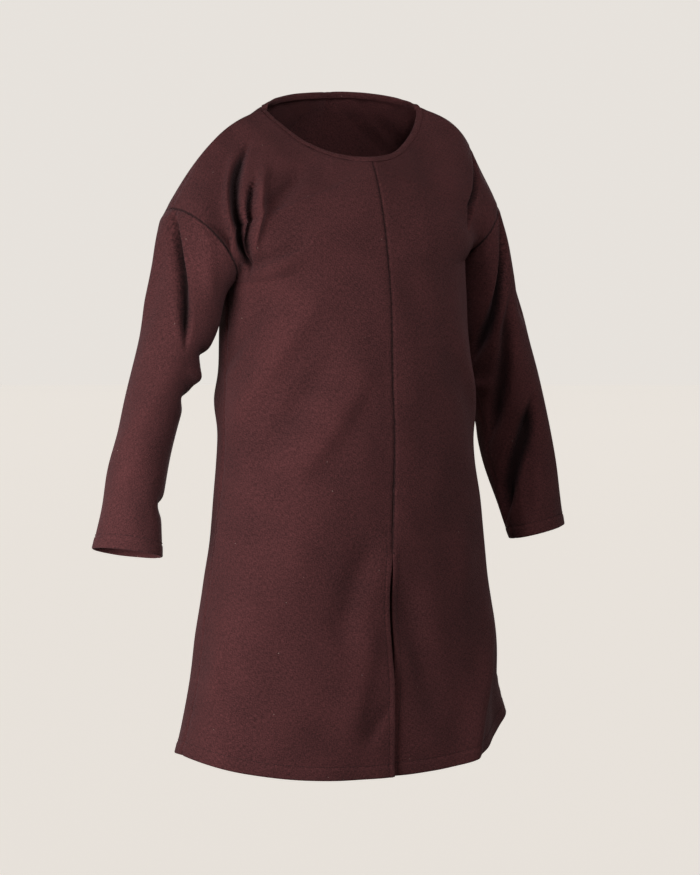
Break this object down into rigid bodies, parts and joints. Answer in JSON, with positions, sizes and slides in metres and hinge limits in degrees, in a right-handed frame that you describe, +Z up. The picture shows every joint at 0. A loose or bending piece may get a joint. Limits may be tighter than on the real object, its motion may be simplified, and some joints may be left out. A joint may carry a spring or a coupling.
{
  "type": "medieval tunic",
  "caption": "Long-sleeved wool pull-over tunic with a bound round neck, dropped shoulders and an open front slit above the curved hem, hollow as worn.",
  "frame": {"origin": "midway between the two points where the shoulder seams meet the neck, where the wearer's shoulders hold the garment up", "axes": "+Z up, the front of the garment faces -Y, the wearer's left is +X"},
  "size_m": [0.786, 0.2754, 0.9919],
  "materials": {
    "wool_front_right": "fulled wool twill, soft nap",
    "wool_front_left": "fulled wool twill, soft nap",
    "wool_back": "fulled wool twill, soft nap",
    "wool_sleeve_right": "fulled wool twill, soft nap",
    "wool_sleeve_left": "fulled wool twill, soft nap",
    "wool_binding": "folded wool strip on the bias"
  },
  "bodies": {
    "root": {"front_right": "wool_front_right", "front_left": "wool_front_left", "back": "wool_back", "sleeve_right": "wool_sleeve_right", "sleeve_left": "wool_sleeve_left", "neck_binding": "wool_binding"}
  },
  "joints": []
}
